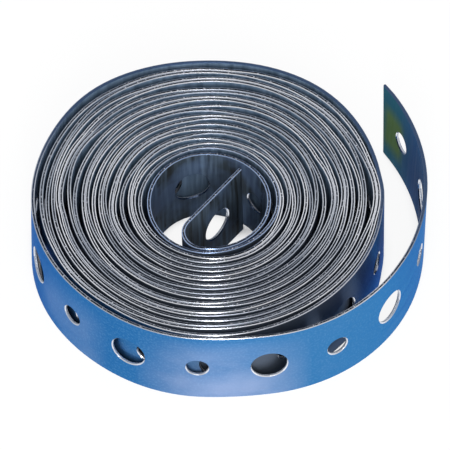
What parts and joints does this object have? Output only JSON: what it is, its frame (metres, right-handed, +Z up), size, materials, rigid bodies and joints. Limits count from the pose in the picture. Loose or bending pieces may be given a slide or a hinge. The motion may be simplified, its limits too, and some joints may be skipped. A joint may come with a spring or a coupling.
{
  "type": "perforated steel strap roll",
  "caption": "Thin steel strap punched with large and small round holes in turn, wound into a flat-lying roll with a sprung-out free end; cut to length to hang or brace pipes and timber.",
  "frame": {"origin": "on the roll's axis, in the flat face that it lies on", "axes": "+Z up along the roll's axis, +X from the axis towards the side where the free end stands off, -Y towards the front, where the free end leaves the roll"},
  "size_m": [0.079, 0.0708, 0.019],
  "materials": {
    "zinc_steel": "zinc plated with a blue passivated face, bare bright slit edges"
  },
  "bodies": {
    "root": {"strap": "zinc_steel"}
  },
  "joints": []
}
